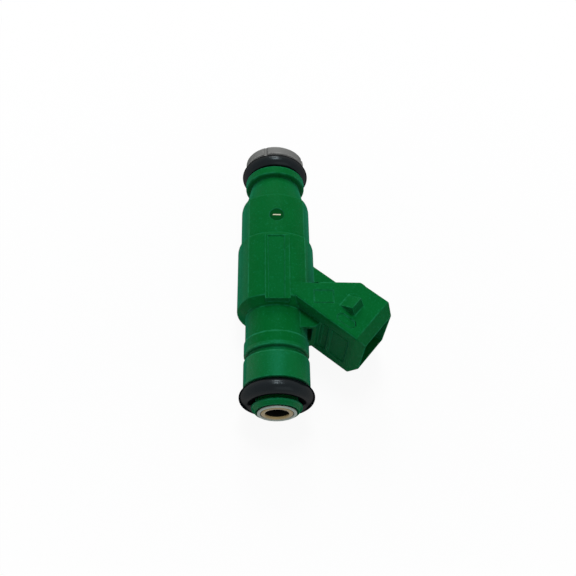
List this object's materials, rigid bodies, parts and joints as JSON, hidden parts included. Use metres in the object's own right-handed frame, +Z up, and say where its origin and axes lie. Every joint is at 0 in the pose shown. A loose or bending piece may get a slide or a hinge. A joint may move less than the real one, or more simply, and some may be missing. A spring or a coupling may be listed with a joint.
{
  "type": "fuel injector",
  "caption": "Top-feed port fuel injector with an overmoulded plastic body, an angled two-blade plug socket, seal rings at both ends and a lifting valve needle.",
  "frame": {"origin": "bottom centre of the bounding box, with the injector lying on its body and on the lower latch lug of its socket", "axes": "+Y along the injector from fuel inlet to nozzle, +X towards the plug socket, +Z up from the surface it lies on"},
  "size_m": [0.0308, 0.0608, 0.0189],
  "materials": {
    "green_plastic": "moulded, satin",
    "grey_plastic": "moulded, matt",
    "black_rubber": "satin",
    "steel": "turned",
    "magnet_steel": "turned",
    "brass": "drawn",
    "copper": "enamelled wire",
    "tinned_brass": "tinned",
    "natural_plastic": "moulded",
    "filter_gauze": "woven"
  },
  "bodies": {
    "injector_body": {"housing": "green_plastic", "inlet_tube": "steel", "filter_collar": "brass", "filter_frame": "natural_plastic", "filter_mesh": "filter_gauze", "pole_core": "magnet_steel", "break_ring": "steel", "adjusting_sleeve": "steel", "return_spring": "steel", "magnet_cup": "magnet_steel", "flux_washer": "magnet_steel", "coil_bobbin": "natural_plastic", "coil_winding": "copper", "terminal_upper": "tinned_brass", "terminal_lower": "tinned_brass", "valve_sleeve": "steel", "needle_guide": "steel", "valve_seat": "steel", "orifice_plate": "steel", "inlet_seal_ring": "black_rubber", "nozzle_seal_ring": "black_rubber", "nozzle_cap": "grey_plastic"},
    "valve_needle": {"armature": "magnet_steel", "needle_tube": "steel", "valve_ball": "steel"}
  },
  "joints": [
    {"name": "needle_lift", "type": "slide", "parent": "injector_body", "child": "valve_needle", "axis": [0, -1, 0], "range_m": [0, 0.00008], "stiffness_N_per_m": 2000, "deforming": ["return_spring"]}
  ]
}
